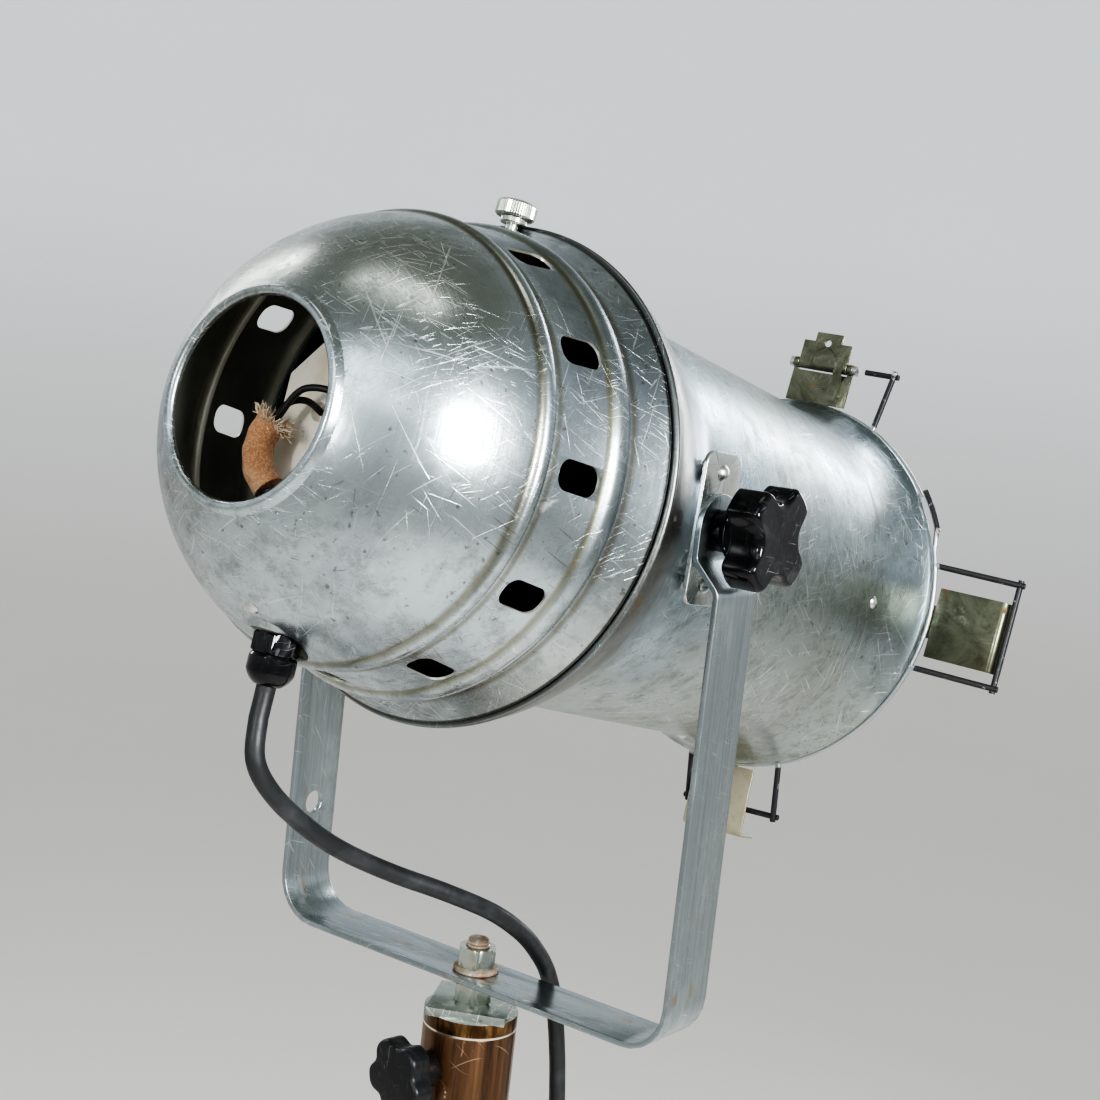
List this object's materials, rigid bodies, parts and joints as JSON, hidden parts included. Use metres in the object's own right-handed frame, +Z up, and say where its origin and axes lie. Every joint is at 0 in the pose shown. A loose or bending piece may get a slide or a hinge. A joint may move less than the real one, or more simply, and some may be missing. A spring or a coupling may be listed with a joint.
{
  "type": "tripod spotlight floor lamp",
  "caption": "Adjustable spotlight in a flat-bar yoke on a telescopic column with three folding legs, with a domed vented rear cap and front frame clips.",
  "frame": {"origin": "on the floor, under the middle of the lamp's plan box, leads left out", "axes": "+Z up, lamp faces -Y, +X to the right seen from behind the lamp"},
  "size_m": [0.7674, 0.67, 1.647],
  "materials": {
    "cast": "black-brown enamelled casting, chipped at the edges",
    "brown_tube": "worn brown lacquer over steel, copper where rubbed",
    "black_plastic": "glossy black phenolic",
    "satin_black": "satin black plastic",
    "rubber": "black rubber",
    "zinc": "zinc-plated flat steel, brushed along its length, stained",
    "nut_zinc": "pale zinc plate, dulled",
    "rusty": "old steel with rust",
    "spun_aluminium": "polished spun aluminium with scratches and stains",
    "bright_aluminium": "bright aluminium",
    "clip_steel": "dull olive zinc sheet, stained",
    "black_wire": "black enamelled wire, worn at the edges",
    "lamp_glass": "silvered sealed-beam glass",
    "porcelain": "cream porcelain",
    "sleeve": "woven orange-copper glass-fibre sleeving, frayed",
    "brass": "tarnished brass"
  },
  "bodies": {
    "base": {"hub_casting": "cast", "lower_tube": "brown_tube", "tube_end_cap": "satin_black", "clamp_collar": "cast", "hub_screws": "nut_zinc", "pivot_bolts": "nut_zinc", "lead_lower": "rubber", "lead_coil": "rubber", "coil_tie": "rubber", "plug_body": "satin_black", "plug_pins": "brass"},
    "leg_front_arm": {"leg_front": "brown_tube", "knuckle_front": "cast", "foot_front": "rubber"},
    "leg_left_arm": {"leg_left": "brown_tube", "knuckle_left": "cast", "foot_left": "rubber"},
    "leg_right_arm": {"leg_right": "brown_tube", "knuckle_right": "cast", "foot_right": "rubber"},
    "height_clamp": {"height_knob": "satin_black"},
    "column": {"column_tube": "brown_tube", "lead_drop": "rubber"},
    "column_clamp": {"column_knob": "satin_black"},
    "yoke": {"top_plate": "nut_zinc", "pan_stud": "rusty", "pan_nuts": "nut_zinc", "pan_washers": "rusty", "yoke_strap": "zinc", "lead_upper": "rubber"},
    "near_knob": {"tilt_knob_near": "black_plastic"},
    "far_knob": {"tilt_knob_far": "black_plastic"},
    "head": {"can_body": "spun_aluminium", "par_lamp": "lamp_glass", "lamp_ring": "bright_aluminium", "lamp_spring": "zinc", "tilt_brackets": "bright_aluminium", "bracket_spacers": "bright_aluminium", "bracket_screws": "nut_zinc", "tilt_studs": "nut_zinc", "clip_near": "clip_steel", "clip_far": "clip_steel", "clip_bottom": "clip_steel", "clip_rivets": "bright_aluminium", "latch_plate": "clip_steel", "latch_pin": "nut_zinc", "latch_spring": "rusty", "wire_guard": "black_wire", "lead_gland": "rubber"},
    "flap": {"latch_flap": "clip_steel"},
    "cap": {"rear_cap": "spun_aluminium", "gland_body": "black_plastic", "gland_nut": "black_plastic", "gland_locknut": "nut_zinc", "cap_rivet": "bright_aluminium", "thumb_nut": "nut_zinc", "lampholder": "porcelain", "heat_sleeve": "sleeve", "inner_lead": "rubber"},
    "cap_screw": {"thumbscrew": "nut_zinc"}
  },
  "joints": [
    {"name": "front_leg_fold", "type": "hinge", "parent": "base", "child": "leg_front_arm", "pos_m": [0, 0.041, 0.54], "axis": [1, 0, 0], "range_deg": [0, 34]},
    {"name": "left_leg_fold", "type": "hinge", "parent": "base", "child": "leg_left_arm", "pos_m": [-0.05543, 0.137, 0.54], "axis": [-0.5, -0.866, 0], "range_deg": [0, 34]},
    {"name": "right_leg_fold", "type": "hinge", "parent": "base", "child": "leg_right_arm", "pos_m": [0.05543, 0.137, 0.54], "axis": [-0.5, 0.866, 0], "range_deg": [0, 34]},
    {"name": "height_clamp_turn", "type": "hinge", "parent": "base", "child": "height_clamp", "pos_m": [0, 0.105, 0.846], "axis": [0.1564, 0.9877, 0], "range_deg": [0, 720]},
    {"name": "column_slide", "type": "slide", "parent": "base", "child": "column", "axis": [0, 0, 1], "range_m": [0, 0.38], "deforming": ["lead_lower"]},
    {"name": "column_clamp_turn", "type": "hinge", "parent": "column", "child": "column_clamp", "pos_m": [0, 0.105, 1.1977], "axis": [0.1564, 0.9877, 0], "range_deg": [0, 720]},
    {"name": "pan", "type": "hinge", "parent": "column", "child": "yoke", "pos_m": [0, 0.105, 1.2177], "axis": [0, 0, 1], "range_deg": [-170, 170], "deforming": ["lead_drop"]},
    {"name": "tilt", "type": "hinge", "parent": "yoke", "child": "head", "pos_m": [0, 0.105, 1.5], "axis": [1, 0, 0], "range_deg": [-102, 34], "deforming": ["lead_upper"]},
    {"name": "near_knob_turn", "type": "hinge", "parent": "head", "child": "near_knob", "pos_m": [-0.13, 0.105, 1.5], "axis": [-1, 0, 0], "range_deg": [0, 720]},
    {"name": "far_knob_turn", "type": "hinge", "parent": "head", "child": "far_knob", "pos_m": [0.13, 0.105, 1.5], "axis": [1, 0, 0], "range_deg": [0, 720]},
    {"name": "latch_open", "type": "hinge", "parent": "head", "child": "flap", "pos_m": [-0.00741, -0.17968, 1.58395], "axis": [-0.9986, 0.0109, -0.0512], "range_deg": [0, 70], "stiffness_Nm_per_rad": 0.05, "springref_deg": -28.65, "deforming": ["latch_spring"]},
    {"name": "cap_slide", "type": "slide", "parent": "head", "child": "cap", "axis": [0, 0.9781, 0.2079], "range_m": [0, 0.03], "deforming": ["lead_gland"]},
    {"name": "thumbscrew_turn", "type": "hinge", "parent": "cap", "child": "cap_screw", "pos_m": [-0.00401, 0.14762, 1.62656], "axis": [-0.0349, -0.2078, 0.9776], "range_deg": [0, 720]}
  ]
}
